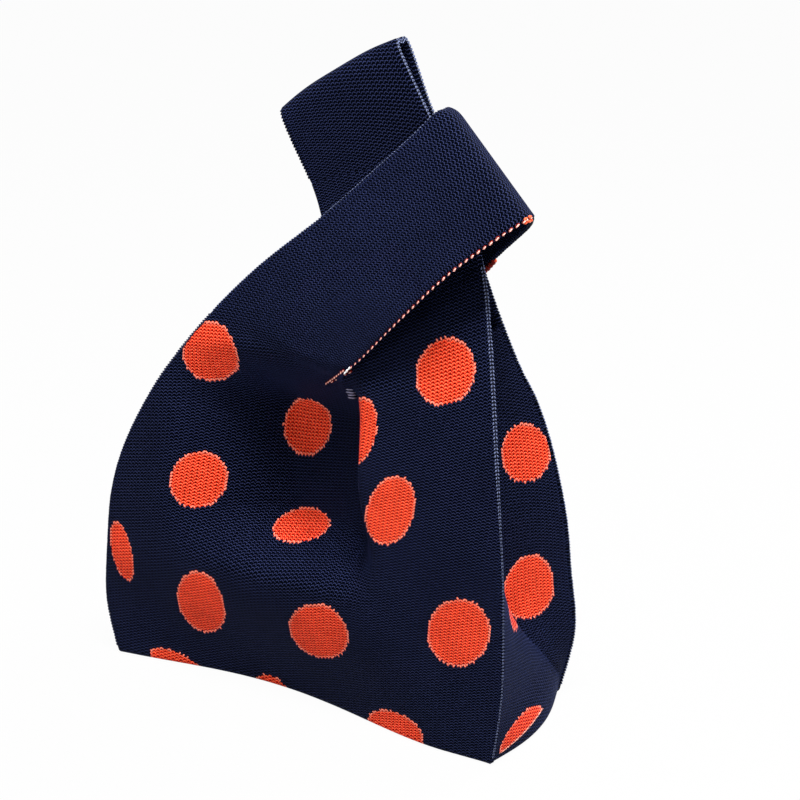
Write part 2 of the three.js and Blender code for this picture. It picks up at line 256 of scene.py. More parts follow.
def unit(vectors):
    return vectors / np.linalg.norm(vectors, axis=-1, keepdims=True)


def body_edge(rows, side, face):
    """The outer edge of one half of a face, as one point for each row."""
    return [
        (side * (BODY_WIDTH / 2 - drawn_in), face * (BODY_DEPTH / 2 - set_back),
         mix(PANEL_FOOT, NECK_HEIGHT, share))
        for share, drawn_in, set_back in rows
    ]


def middle_edge(shift, face):
    return [
        (shift * shift_share, face * (BODY_DEPTH / 2 - set_back),
         mix(PANEL_FOOT, NECK_HEIGHT, share))
        for share, shift_share, set_back in MIDDLE_LINE
    ]


def short_strap_edges(neck_x, face):
    """Inner (neck) edge and outer edge of one layer of the short strap."""
    inner, outer = [], []
    along = (math.cos(SHORT_STRAP_ANGLE), math.sin(SHORT_STRAP_ANGLE))
    lifts = NECK_EDGE_LIFTS if face < 0 else BACK_EDGE_LIFTS
    for lift, strap_row in zip(lifts, SHORT_ROWS):
        share, width, skew, low_front, high_front, low_back, high_back = strap_row
        reach = share * SHORT_STRAP_REACH
        row_angle = math.pi / 2 + SHORT_STRAP_ANGLE + math.radians(skew)
        row = width * STRAP_WIDTH
        x = mix(neck_x, NECK_SHIFT, share) + reach * along[0]
        z = NECK_HEIGHT + reach * along[1]
        low, high = (low_front, high_front) if face < 0 else (low_back, high_back)
        inner.append((x - lift * along[1], low, z + lift * along[0]))
        outer.append((x + row * math.cos(row_angle), high, z + row * math.sin(row_angle)))
    return inner, outer


def long_strap_edges(face):
    """Left and right edge of one layer of the long strap."""
    inner, outer = [], []
    for right, up, half, tilt, back_left, *depths in LONG_ROWS:
        x = NECK_SHIFT + right * LONG_STRAP_REACH - (0 if face < 0 else back_left)
        z = NECK_HEIGHT + up * LONG_STRAP_REACH
        half_x = half * STRAP_WIDTH * math.cos(math.radians(tilt))
        half_z = half * STRAP_WIDTH * math.sin(math.radians(tilt))
        left, far = depths[:2] if face < 0 else depths[2:]
        inner.append((x - half_x, left, z - half_z))
        outer.append((x + half_x, far, z + half_z))
    return inner, outer


def make_strip(front_body, front_strap, back_body, back_strap, reach, direction, corner, step, tip):
    """A strip of fabric runs up the front, over the fold at its strap's end and down the back. Tip
    says how far the inner and outer corner of that end are rounded back, over what share of the
    width and over how many rows."""
    direction = unit(np.array([direction[0], 0, direction[1]]))
    edges = []
    for edge in (0, 1):
        front = [*front_body[edge], *front_strap[edge]]
        back = [*back_body[edge], *back_strap[edge]]
        fold = (np.array(front[-1]) + np.array(back[-1])) / 2 + reach * direction
        edges.append(np.array([*front, fold, *reversed(back)]))
    return SimpleNamespace(
        inner=edges[0], outer=edges[1], fold_row=len(front), last_row=2 * len(front),
        round_corner=corner, step=step, tip=tip, direction=direction,
    )


def body_edges(rows, side, shift, face):
    return middle_edge(shift, face), body_edge(rows, side, face)


short_strip = make_strip(
    body_edges(LEFT_FRONT_EDGE, -1, NECK_SHIFT, -1), short_strap_edges(NECK_SHIFT, -1),
    body_edges(LEFT_BACK_EDGE, -1, BACK_NECK_SHIFT, 1), short_strap_edges(BACK_NECK_SHIFT, 1),
    SHORT_FOLD_REACH, (math.cos(SHORT_STRAP_ANGLE), math.sin(SHORT_STRAP_ANGLE)), 3, -NECK_STEP,
    SHORT_TIP_ROUND,
)
long_strip = make_strip(
    body_edges(RIGHT_FRONT_EDGE, 1, NECK_SHIFT, -1), long_strap_edges(-1),
    body_edges(RIGHT_BACK_EDGE, 1, BACK_NECK_SHIFT, 1), long_strap_edges(1),
    LONG_FOLD_REACH, LONG_DIRECTION, 1, NECK_STEP, LONG_TIP_ROUND,
)


def catmull_rom(points, rows):
    """The smooth line through evenly numbered points, past whose ends it runs straight."""
    padded = np.vstack([2 * points[0] - points[1], points, 2 * points[-1] - points[-2]])
    start = np.minimum(rows.astype(int), len(points) - 2)
    t = (rows - start)[..., None]
    before, here, after, beyond = (padded[start + k] for k in range(4))
    leaving, arriving = (after - before) / 2, (beyond - here) / 2
    return (
        (2 * t**3 - 3 * t**2 + 1) * here + (t**3 - 2 * t**2 + t) * leaving
        + (3 * t**2 - 2 * t**3) * after + (t**3 - t**2) * arriving
    )


def front_relief(x, z):
    """How far the front face stands back from its plain lofted shape."""
    off_centre = np.clip(np.abs((x - PUSH_CENTRE) / PUSH_REACH), 0, 1)
    pushed = BASE_PUSH * (1 - off_centre**2) ** 2 * (1 - smooth(z / PUSH_FADE))
    into_dent = ramp(x, DENT_START, DENT_DEEPEST)
    rise = DENT_RISE * np.clip((x - DENT_DEEPEST) / (DENT_VALLEY - DENT_DEEPEST), 0, 1)
    wall_width = mix(WALL_FOOT_WIDTH, WALL_TOP_WIDTH, ramp(z, *WALL_HEIGHTS))
    wall = smooth((x - DENT_VALLEY) / wall_width)
    low, high = ramp(z, *LEDGE), 1 - ramp(z, *DENT_TOP)
    return pushed + DENT_DEPTH * into_dent * (1 - rise) * (1 - wall) * low * high


def strip_point(strip, rows, across, relief=front_relief):
    """Points of a strip: rows count up its length, across runs from inner edge to outer edge."""
    rows, across = np.broadcast_arrays(np.asarray(rows, float), np.asarray(across, float))
    rows = np.clip(rows, 0, strip.last_row)
    inner = catmull_rom(strip.inner, rows)
    outer = catmull_rom(strip.outer, rows)
    point = mix(inner, outer, across[..., None])
    inner_round, outer_round, corner, tip_rows = strip.tip
    rounded = (inner_round * np.clip(1 - across / corner, 0, 1) ** 3
               + outer_round * np.clip(1 - (1 - across) / corner, 0, 1) ** 3)
    rounded = rounded * (1 - smooth(np.abs(rows - strip.fold_row) / tip_rows))
    point = point - rounded[..., None] * strip.direction
    rows_up = np.minimum(rows, strip.last_row - rows)
    face = np.where(rows < strip.fold_row, -1, 1)
    rounding = mix(1, strip.round_corner, 1 - smooth(rows_up - (NECK_ROW - 1)))
    y = mix(outer[..., 1], inner[..., 1], 1 - across**rounding)
    y = y + np.where(face < 0, relief(point[..., 0], point[..., 2]), 0)
    parted = smooth((rows_up - NECK_ROW) / PARTING) * (1 - smooth(rows_up - NECK_ROW))
    y = y - face * strip.step * (1 - across) * parted
    return np.stack([point[..., 0], y, point[..., 2]], axis=-1)


def no_relief(x, z):
    return 0 * x


def grid(strip, first_row, last_row, relief=front_relief):
    """A strip's points between two rows, as an array of rows of points."""
    rows = np.linspace(first_row, last_row, round((last_row - first_row) * ROW_STEPS) + 1)
    across = np.linspace(0, 1, ACROSS_STEPS + 1)
    return strip_point(strip, rows[:, None], across[None, :], relief)


def run_length(points, axis):
    """Real distance along one axis of a grid of points, counted from its first row or column."""
    steps = np.linalg.norm(np.diff(points, axis=axis), axis=-1)
    start = np.zeros_like(np.take(steps, [0], axis=axis))
    return np.concatenate([start, np.cumsum(steps, axis=axis)], axis=axis)


def body_grids(relief=front_relief):
    """The left strip, front to back over the band, and the right strip below its first cuts."""
    last = long_strip.last_row
    left = grid(short_strip, 0, short_strip.last_row, relief)
    right_front = grid(long_strip, 0, CUT_ROW, relief)
    right_back = grid(long_strip, last - CUT_ROW, last, relief)
    shared = NECK_ROW * ROW_STEPS + 1
    left[:shared, 0] = right_front[:shared, 0]
    left[-shared:, 0] = right_back[-shared:, 0]
    return left, right_front, right_back


def level_rows(points, first, last):
    """Fabric length up a stretch of grid rows, made the same across at its two ends."""
    up = run_length(points, 0)
    return mix(first, last, up / up[-1:])


def strap_lengths(points, start):
    """Fabric length up a stretch of strap, the same across, counted on from a start."""
    along = run_length(points, 0).mean(axis=1)[:, None] + start
    return np.repeat(along, points.shape[1], axis=1)


def body_fabric_lengths(left, right_front, right_back):
    """Length of fabric up the front, over the band and down the back, for each point."""
    neck = NECK_ROW * ROW_STEPS
    front_rise = run_length(left[: neck + 1, :1], 0)[-1, 0]
    back_fall = run_length(left[-neck - 1 :, :1], 0)[-1, 0]
    strap = strap_lengths(left[neck:-neck], front_rise)
    total = strap[-1, 0] + back_fall
    left_lengths = np.vstack([
        level_rows(left[: neck + 1], 0, front_rise)[:-1], strap,
        level_rows(left[-neck - 1 :], strap[-1, 0], total)[1:],
    ])
    right_front_lengths = np.vstack([
        level_rows(right_front[: neck + 1], 0, front_rise)[:-1],
        strap_lengths(right_front[neck:], front_rise),
    ])
    back_strap = strap_lengths(right_back[:-neck], 0)
    right_back_lengths = np.vstack([
        back_strap - back_strap[-1] + strap[-1, 0],
        level_rows(right_back[-neck - 1 :], strap[-1, 0], total)[1:],
    ])
    return left_lengths, right_front_lengths, right_back_lengths


def body_lengths_across():
    """Distance from the middle line as if the front had no relief, so that columns run straight."""
    left, right_front, right_back = (run_length(points, 1) for points in body_grids(no_relief))
    return -left, right_front, right_back


def right_gusset_fold(t, z):
    to_valley = np.where(t < VALLEY_PLACE, t / VALLEY_PLACE, (1 - t) / (1 - VALLEY_PLACE))
    return GUSSET_FOLD * to_valley * smooth(z / VALLEY_FADE)


def right_gusset_depth(t, z):
    """The gusset folds in along a valley. Below a lip that runs down to the back foot, its cloth
    leans out again, facing up."""
    upper = right_gusset_fold(t, z)
    lip_height = mix(*LIP_HEIGHTS, t)
    arch = np.sin(math.pi * t)
    lower = LIP_LEAN * np.clip(z / lip_height, 0, 1) ** 3 * arch
    above_lip = smooth((z - lip_height) / LIP_TUCK)
    bulge = RIGHT_BULGE * arch * (1 - smooth(z / RIGHT_BULGE_TOP))
    return mix(lower, upper, above_lip) - bulge


def right_gusset_drop(t, z):
    """Above the lip the cloth first dips behind it."""
    above_lip = np.clip((z - mix(*LIP_HEIGHTS, t)) / LIP_TUCK, 0, 1)
    return LIP_DROP * np.sin(math.pi * above_lip) * np.sin(math.pi * t)


def left_gusset_depth(t, z):
    """The foot bellies out, and the cloth folds in further up."""
    arch = np.sin(math.pi * t)
    belly = -LEFT_BELLY * arch * (1 - smooth(z / LEFT_BELLY_TOP))
    return belly + LEFT_FOLD * ramp(z, *LEFT_FOLD_HEIGHTS) * arch**2


def no_drop(t, z):
    return 0 * z


def gusset_grid(strip, side, depth_at, drop_at, top_row):
    rows = np.linspace(0, top_row, round(GUSSET_ROW_STEPS * top_row) + 1)[:, None]
    t = np.linspace(0, 1, GUSSET_STEPS + 1)[None, :]
    front = strip_point(strip, rows, 1)
    back = strip_point(strip, strip.last_row - rows, 1)
    seat = np.array([-side * GUSSET_SEAT[0], GUSSET_SEAT[1], 0])
    back_seat = seat * (1, -1, 1)
    points = (front + seat) * (1 - t[..., None]) + (back + back_seat) * t[..., None]
    height = points[..., 2].copy()
    points[..., 0] -= side * depth_at(t, height)
    points[..., 2] -= drop_at(t, height)
    return points


def gusset_patch(strip, side, depth_at, drop_at, top_row, plain_depth):
    """A gusset's points, with its lengths across as if it had no lip."""
    points = gusset_grid(strip, side, depth_at, drop_at, top_row)
    plain = gusset_grid(strip, side, plain_depth, no_drop, top_row)
    top = run_length(plain, 0).mean(axis=1)[-1]
    return points, run_length(plain, 1), level_rows(points, 0, top)


def foot_ring(front_left, front_right, right_side, back_right, back_left, left_side):
    """The closed line of the walls' feet and, at each of its points, the way into the bag."""
    ring = np.array([
        *front_left[0, ::-1], *front_right[0, 1:], *right_side[0, 1:-1], *back_right[-1, ::-1],
        *back_left[-1, 1:], *left_side[0, -2:0:-1],
    ])
    reach = 4
    along = np.roll(ring, -reach, axis=0) - np.roll(ring, reach, axis=0)
    inward = np.stack([-along[:, 1], along[:, 0], np.zeros(len(ring))], axis=1)
    return ring, unit(inward)


def with_foot(patch, ring, inward, at_end=False):
    """A wall's patch with rows added that carry its foot down and round under the bag."""
    points, across, along = patch
    row = -1 if at_end else 0
    foot = points[row]
    nearest = np.argmin(np.linalg.norm(foot[:, None] - ring[None], axis=2), axis=1)
    turns = np.linspace(0, math.pi / 2, FOOT_STEPS + 1)[1:, None, None]
    rows = foot + FOOT_RADIUS * (
        inward[nearest] * (1 - np.cos(turns)) - np.array([0, 0, 1]) * np.sin(turns)
    )
    lengths = FOOT_RADIUS * turns[..., 0]
    rows_across = np.repeat(across[[row]], FOOT_STEPS, axis=0)
    if at_end:
        return (np.vstack([points, rows]), np.vstack([across, rows_across]),
                np.vstack([along, along[row] + lengths]))
    return (np.vstack([rows[::-1], points]), np.vstack([rows_across, across]),
            np.vstack([(along[row] - lengths)[::-1], along]))


# Meshes
def merged_patches(patches):
    """Joins grids of points that share edges into one sheet: its points, faces and fabric lengths.
    Each patch is its points, its lengths across, its lengths along, and whether to turn it over."""
    corners, lengths, faces, numbers = [], [], [], {}
    for points, across, along, turned in patches:
        rows, columns = points.shape[:2]
        index = np.empty((rows, columns), int)
        for i in range(rows):
            for j in range(columns):
                key = tuple(np.round(points[i, j], 4))
                if key not in numbers:
                    numbers[key] = len(corners)
                    corners.append(points[i, j])
                    lengths.append((across[i, j], along[i, j]))
                index[i, j] = numbers[key]
        a, b = index[:-1, :-1].ravel(), index[:-1, 1:].ravel()
        c, d = index[1:, 1:].ravel(), index[1:, :-1].ravel()
        faces.append(np.stack([a, d, c, b] if turned else [a, b, c, d], axis=1))
    return np.array(corners), np.vstack(faces), np.array(lengths)


def corner_normals(points, faces):
    """Unit normal at each point, from the faces round it."""
    normals = np.zeros_like(points)
    face_normals = np.cross(
        points[faces[:, 2]] - points[faces[:, 0]], points[faces[:, 3]] - points[faces[:, 1]]
    )
    for k in range(4):
        np.add.at(normals, faces[:, k], face_normals)
    return unit(normals)


def open_edges(faces):
    """Edges that only one face has, each in that face's direction."""
    pairs = np.concatenate([faces[:, [k, (k + 1) % 4]] for k in range(4)])
    seen = {tuple(pair) for pair in pairs}
    return np.array([pair for pair in pairs if (pair[1], pair[0]) not in seen])


def add_fabric(name, patches, finish, *nodes):
    """A closed sheet of fabric, half its thickness on each side of the patches, with round edges,
    that stands for some nodes of the solids."""
    points, faces, lengths = merged_patches(patches)
    normals = corner_normals(points, faces)
    rim = open_edges(faces)
    outwards = np.zeros_like(points)
    edge_directions = np.cross(points[rim[:, 1]] - points[rim[:, 0]], normals[rim[:, 0]])
    for k in range(2):
        np.add.at(outwards, rim[:, k], edge_directions)
    rim_points = np.unique(rim)
    outwards = unit(outwards[rim_points])
    middle_of = {point: 2 * len(points) + k for k, point in enumerate(rim_points)}
    corners = np.vstack([
        points + normals * FABRIC / 2, points - normals * FABRIC / 2,
        points[rim_points] + outwards * FABRIC * ROUND_EDGE,
    ])
    quads = [*faces, *(faces[:, ::-1] + len(points))]
    for a, b in rim:
        quads.append((b, a, middle_of[a], middle_of[b]))
        quads.append((middle_of[b], middle_of[a], a + len(points), b + len(points)))
    corner_lengths = np.vstack([lengths, lengths, lengths[rim_points]])
    piece = mesh_piece(name, corners, quads, corner_lengths, finish)
    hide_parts(*nodes)
    return piece


def mesh_piece(name, corners, faces, lengths, finish, smooth_faces=True):
    """A mesh from points in millimetres, with the fabric's lengths as its UV map in metres."""
    mesh = bpy.data.meshes.new(name)
    mesh.from_pydata((np.asarray(corners) * MM).tolist(), [], [tuple(map(int, f)) for f in faces])
    mesh.polygons.foreach_set("use_smooth", np.full(len(mesh.polygons), smooth_faces))
    corner_numbers = np.empty(len(mesh.loops), np.int32)
    mesh.loops.foreach_get("vertex_index", corner_numbers)
    layer = mesh.uv_layers.new(name=FABRIC_MAP)
    places = np.asarray(lengths)[corner_numbers] * MM
    layer.data.foreach_set("uv", places.astype(np.float32).ravel())
    mesh.materials.append(finish)
    return add_object(name, mesh)


def add_object(name, data):
    item = bpy.data.objects.new(name, data)
    bpy.context.scene.collection.objects.link(item)
    return item


# Materials
# Kinds of node that are used often, and settings that go with them
MATH = "ShaderNodeMath"
RANGE = "ShaderNodeMapRange"
MIX = "ShaderNodeMix"
SOFTLY = {"interpolation_type": "SMOOTHSTEP"}
COLOURS = {"data_type": "RGBA"}


def linear(hex_colour):
    """Linear RGBA of an sRGB hex colour."""
    channels = [int(hex_colour[k:k + 2], 16) / 255 for k in (1, 3, 5)]
    return [c / 12.92 if c <= 0.04045 else ((c + 0.055) / 1.055) ** 2.4 for c in channels] + [1]


def add_node(tree, kind, *values, inputs=None, **settings):
    """Adds a node. Values go to its sockets in use in their order, and inputs to those it names.
    A node given as a value stands for its first output in use."""
    node = tree.nodes.new(kind)
    for setting, value in settings.items():
        setattr(node, setting, value)
    sockets = [socket for socket in node.inputs if socket.enabled]
    named = [(node.inputs[name], value) for name, value in (inputs or {}).items()]
    for socket, value in [*zip(sockets, values), *named]:
        if isinstance(value, bpy.types.Node):
            value = next(output for output in value.outputs if output.enabled)
        if isinstance(value, bpy.types.NodeSocket):
            tree.links.new(value, socket)
        else:
            socket.default_value = value
    return node


def new_material(name):
    material = bpy.data.materials.new(name)
    material.use_nodes = True
    material.node_tree.nodes.clear()
    return material, partial(add_node, material.node_tree)


def dot_shape(patches, place, width=1.0, height=1.0, lean=0.0):
    """A round dot as it lies on the fabric map: place, turn and the two half sizes of its ellipse,
    in millimetres, from how the map is stretched where the dot is."""
    nearest = None
    for points, across, along in patches:
        gap = np.hypot(across - place[0], along - place[1])
        at = np.unravel_index(np.argmin(gap), gap.shape)
        if nearest is None or gap[at] < nearest[0]:
            nearest = (gap[at], points, across, along, at)
    _, points, across, along, at = nearest

    def slope(values, axis):
        return np.gradient(values, axis=axis)[at]

    map_steps = np.array([[slope(across, 0), slope(across, 1)], [slope(along, 0), slope(along, 1)]])
    point_steps = np.stack([slope(points, 0), slope(points, 1)], axis=1)
    stretch = point_steps @ np.linalg.inv(map_steps)
    right = unit(stretch[:, 0])
    up = unit(stretch[:, 1] - right * (stretch[:, 1] @ right))
    turn = np.array([[math.cos(lean), math.sin(lean)], [-math.sin(lean), math.cos(lean)]])
    to_dot = np.diag([1 / width, 1 / height]) @ turn @ np.stack([right, up]) @ stretch
    _, sizes, axes = np.linalg.svd(to_dot)
    return place, math.atan2(axes[0, 1], axes[0, 0]), DOT_RADIUS / sizes


def knit_material(name, dots, seam_slope=None):
    """Close machine-knitted cotton: columns of loops, each column half a loop along from the last.
    A loop is an arch over a sunk speck. The top of each arch is painted lighter, as a highlight,
    and the speck and the gaps darker, as shade, so the cloth reads as fine rows of dashes. Dots are
    knitted in loop by loop, which gives them toothed edges, and their outermost loops are painted
    paler, as a highlight. A seam that climbs from the cloth's foot corner at a slope cuts off the
    dots below it, with a pale line painted just above it as a highlight."""
    material, add = new_material(name)
    place = add("ShaderNodeUVMap", uv_map=FABRIC_MAP)
    lengths = add("ShaderNodeSeparateXYZ", place).outputs
    column = add(MATH, lengths["X"], COLUMN * MM, operation="DIVIDE")
    column_number = add(MATH, column, operation="FLOOR")
    from_middle = add(MATH, add(MATH, column, operation="FRACT"), 0.5, operation="SUBTRACT")
    across = add(MATH, from_middle, operation="ABSOLUTE")
    shift = add(MATH, add(MATH, column_number, 1, operation="PINGPONG"), 0.5, operation="MULTIPLY")
    arched = add(MATH, across, LOOP_ARCH, shift, operation="MULTIPLY_ADD")
    loop = add(MATH, lengths["Y"], 1 / (LOOP * MM), arched, operation="MULTIPLY_ADD")
    loop_number = add(MATH, loop, operation="FLOOR")
    up = add(MATH, loop, operation="FRACT")
    # Under each arch is a sunk speck, its feet are fainter ones at the sides of the column, and a
    # thin gap parts each loop from the next. This height makes the bump, and the colours below also
    # paint its sunk places darker, as shade
    from_crown = add(MATH, add(MATH, up, 0.5, operation="SUBTRACT"), operation="ABSOLUTE")
    off_foot = add(MATH, 0.5, from_crown, operation="SUBTRACT")
    rise = add(MATH, off_foot, SPECK_HEIGHT, operation="DIVIDE")
    off_side = add(MATH, add(MATH, across, FOOT_PLACE, operation="SUBTRACT"), FOOT_WIDTH,
                   operation="DIVIDE")
    squares = [add(MATH, share, 2, operation="POWER") for share in (rise, off_side)]
    foot_reach = add(MATH, add(MATH, *squares, operation="ADD"), 0.5, operation="POWER")
    middle_reach = add(MATH, rise, add(MATH, across, SPECK_WIDTH, operation="DIVIDE"),
                       operation="ADD")
    parted = add(RANGE, off_foot, 0.02, 0.2, 0.5, **SOFTLY)
    foot = add(RANGE, foot_reach, 0.2, 0.9, 0.45, **SOFTLY)
    speck = add(RANGE, middle_reach, 0.4, 1.15, **SOFTLY)
    height = add(MATH, parted, add(MATH, foot, speck, operation="MULTIPLY"), operation="MULTIPLY")
    # The top of each arch, where a highlight is painted
    crown = add(MATH, add(RANGE, up, 0.46, 0.6, **SOFTLY), add(RANGE, up, 0.84, 0.7, **SOFTLY),
                operation="MULTIPLY")
    # Each leg of a loop takes the colour of the place at its own middle
    leg_number = add(MATH, add(MATH, column, 2, operation="MULTIPLY"), operation="FLOOR")
    leg_middle = add(MATH, leg_number, 0.5, operation="ADD")
    loop_middle = add(MATH, add(MATH, loop_number, 0.5, operation="ADD"), shift,
                      operation="SUBTRACT")
    loop_place = add(
        "ShaderNodeCombineXYZ", add(MATH, leg_middle, COLUMN / 2 * MM, operation="MULTIPLY"),
        add(MATH, loop_middle, LOOP * MM, operation="MULTIPLY"),
    )
    # How near the next dot's middle is, where 1 is the dot's edge and 2 lies outside every dot
    nearest = 2
    for (dot_x, dot_y), angle, sizes in dots:
        in_ellipse = add(
            "ShaderNodeMapping", loop_place, (dot_x * MM, dot_y * MM, 0), (0, 0, angle),
            (sizes[0] * MM, sizes[1] * MM, 1), vector_type="TEXTURE",
        )
        reach = add("ShaderNodeVectorMath", in_ellipse, operation="LENGTH")
        nearest = add(MATH, nearest, reach, operation="MINIMUM")
    # A dot's outermost loops are painted paler, as a highlight
    in_dot = add(MATH, nearest, 1, operation="LESS_THAN")
    dot_edge_highlight = add(RANGE, nearest, 0.9, 0.97, 0, DOT_EDGE_HIGHLIGHT, **SOFTLY)
    pale_highlight_mask = add(MATH, in_dot, dot_edge_highlight, operation="MULTIPLY")
    if seam_slope is not None:
        over_seam = add(MATH, lengths["X"], -seam_slope, lengths["Y"], operation="MULTIPLY_ADD")
        above = add(MATH, over_seam, 0, operation="GREATER_THAN")
        in_dot = add(MATH, in_dot, above, operation="MULTIPLY")
        # Just above the seam a pale line is painted, as a highlight, on the dots it cuts
        seam_highlight_mask = add(MATH, over_seam, SEAM_HIGHLIGHT_WIDTH * MM, operation="LESS_THAN")
        light = add(MATH, pale_highlight_mask, seam_highlight_mask, operation="MAXIMUM")
        pale_highlight_mask = add(MATH, in_dot, light, operation="MULTIPLY")
    # Colours from the gaps up to the top of the loops: the gaps' colours are painted shade, and the
    # colours at the top of each arch a painted highlight
    # The paler coral mixed in on a dot's edge loops and along the seam is a painted highlight
    coral = add(MIX, pale_highlight_mask, linear("#ec2d12"), linear("#ffa890"), **COLOURS)
    coral_top_highlight = add(MIX, pale_highlight_mask, linear("#ff744f"), linear("#ffbcaa"), **COLOURS)
    # Near black in navy and dark red in a dot: painted shade in the gaps
    gap = add(MIX, in_dot, linear("#000001"), linear("#5a0502"), **COLOURS)
    yarn = add(MIX, in_dot, linear("#010205"), coral, **COLOURS)
    # Paler navy and coral at the top of each arch: a painted highlight
    top_highlight = add(MIX, in_dot, linear("#282e4f"), coral_top_highlight, **COLOURS)
    face = add(MIX, height, gap, add(MIX, crown, yarn, top_highlight, **COLOURS), **COLOURS)
    # Loops differ a little in tone, and the yarn is uneven over a few centimetres
    loop_tone = add("ShaderNodeTexWhiteNoise", loop_place, noise_dimensions="2D")
    broad = add("ShaderNodeTexNoise", place,
                inputs={"Scale": 1 / (UNEVEN_LENGTH * MM), "Detail": 2.0})
    broad_tone = add(RANGE, broad, 0.3, 0.7, 0.78, 0.96, **SOFTLY)
    tone = add(MATH, loop_tone, LOOP_TONE, broad_tone, operation="MULTIPLY_ADD")
    toned = add("ShaderNodeHueSaturation", inputs={"Color": face, "Value": tone})
    bump = add("ShaderNodeBump",
               inputs={"Height": height, "Distance": LOOP_RELIEF * MM, "Strength": 0.8})
    shader = add("ShaderNodeBsdfPrincipled", inputs={
        "Base Color": toned, "Normal": bump, "Roughness": 0.6, "Specular IOR Level": 0.02,
        "Specular Tint": linear("#9db8ff"), "Sheen Weight": 0.07, "Sheen Roughness": 0.3,
        "Sheen Tint": linear("#6f8cff"),
    })
    add("ShaderNodeOutputMaterial", shader)
    return material


def yarn_material(name, colour, low):
    """Twisted cotton yarn of the edge stitches. Its strands are too fine to show one by one, so
    they are a mottling of their own breadth or a little more, painted lighter where a strand stands
    up, as a highlight, and darker between, as shade."""
    material, add = new_material(name)
    place = add("ShaderNodeTexCoord").outputs["Object"]
    strands = add("ShaderNodeTexNoise", place,
                  inputs={"Scale": 1 / (STRAND_BREADTH * MM), "Detail": 2.0})
    # The mottle follows the strands' bump: the given colour is a painted highlight on their tops,
    # the low colour painted shade between them
    shade = add(MIX, strands, linear(low), linear(colour), **COLOURS)
    bump = add("ShaderNodeBump", inputs={"Height": strands, "Distance": STRAND_RELIEF * MM,
                                          "Strength": 0.5})
    shader = add("ShaderNodeBsdfPrincipled", inputs={
        "Base Color": shade, "Normal": bump, "Roughness": 0.7, "Specular IOR Level": 0.04,
        "Sheen Weight": 0.08,
    })
    add("ShaderNodeOutputMaterial", shader)
    return material


plain_knit = knit_material("navy_cotton_knit", [])
# Two copies of one navy edge yarn: this lighter one for chains where the light catches them, a
# painted highlight, and the dimmer one below for chains in shade, painted shade
edge_yarn = yarn_material("navy_edge_yarn", "#7e8ab2", "#10152c")
edge_yarn_shaded_copy = yarn_material("navy_edge_yarn_shaded_copy", "#222a50", "#05070f")
dark_yarn = yarn_material("dark_navy_edge_yarn", "#0c1024", "#020308")
# A pale coral laid over the top of coral stitches as a painted highlight
coral_highlight_yarn = yarn_material("coral_highlight_edge_yarn", "#ffcfc2", "#f0a090")
coral_yarn = yarn_material("coral_edge_yarn", "#ff7c54", "#e04020")
# Dark red: the coral yarn with painted shade, for the shaded legs of the neck dashes and tacks and
# for the back spot
shaded_coral_yarn = yarn_material("shaded_coral_edge_yarn", "#8c1810", "#3c0604")
white_thread = yarn_material("white_thread", "#ffffff", "#e0e0e4")
knot_yarn = yarn_material("grey_violet_knot_yarn", "#dcd8f4", "#7c78a2")


# Body and straps
# Dots: place across from the middle line and along the fabric from the front foot, in mm, then
# where a dot isn't round its width share, height share and lean
BODY_DOTS = [
    ((-77.3, 184.5), 0.86, 1.06, -0.41), ((-30.9, 152.8), 0.82, 1.0, -0.29),
    ((17.2, 179.8), 1.16, 0.92, 0.49), ((61.7, 215.1), 0.86, 0.98, -0.63),
    ((-82.4, 110.3), 0.83, 0.95, -0.57), ((-25.1, 101.4), 0.95, 0.63, 0.49),
    ((39.4, 136.8), 0.7, 1.11, -0.45), ((-126.9, 58.1), 0.45, 0.99, 0.24),
    ((-73.1, 42.9), 0.86, 1.27, -0.37), ((2.2, 47.5), 1.24, 0.88, 0.75),
    ((83.4, 73.8), 0.89, 1.15, -0.62), ((-94.9, -3.5), 0.98, 0.48, -0.3),
    ((-35.4, -4.5), 0.6, 0.48), ((48.6, -0.5), 1.07, 0.66, 0.18),
    *[((side * BACK_DOT_SPACING / 2, BACK_FOOT - height),) for height in (20, 112)
      for side in (-1, 1)],
    *[((side * BACK_DOT_SPACING - shift, BACK_FOOT - height),)
      for height, shift in ((66, 0), (158, 12)) for side in (-1, 0, 1)],
]
RIGHT_GUSSET_DOTS = [
    ((76.6, 142.1), 0.8, 0.91, 0.51), ((73.5, 71.2), 0.88, 1.04, 0.08),
]
# The dot behind the lip of the right gusset, which the photo shows as a sliver, and the one that
# its foot seam cuts off: place, turn and half sizes on the fabric map
LIP_DOT = ((36.5, 77), 0, (19, 19))
SEAM_DOT = ((25, 5), 0, (20.5, 10))
SEAM_SLOPE = 0.155
LEFT_GUSSET_DOTS = [((18, 22),), ((62, 68),), ((20, 114),), ((48, 158),)]
BASE_DOTS = [(-78, 12), (0, 12), (78, 12), (-39, -26), (39, -26)]


def rides_on_strap_hinge(piece):
    """Bakes the piece's place into its mesh, without bending the body and short strap fabric over
    the neck.
    """
    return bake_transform(piece)


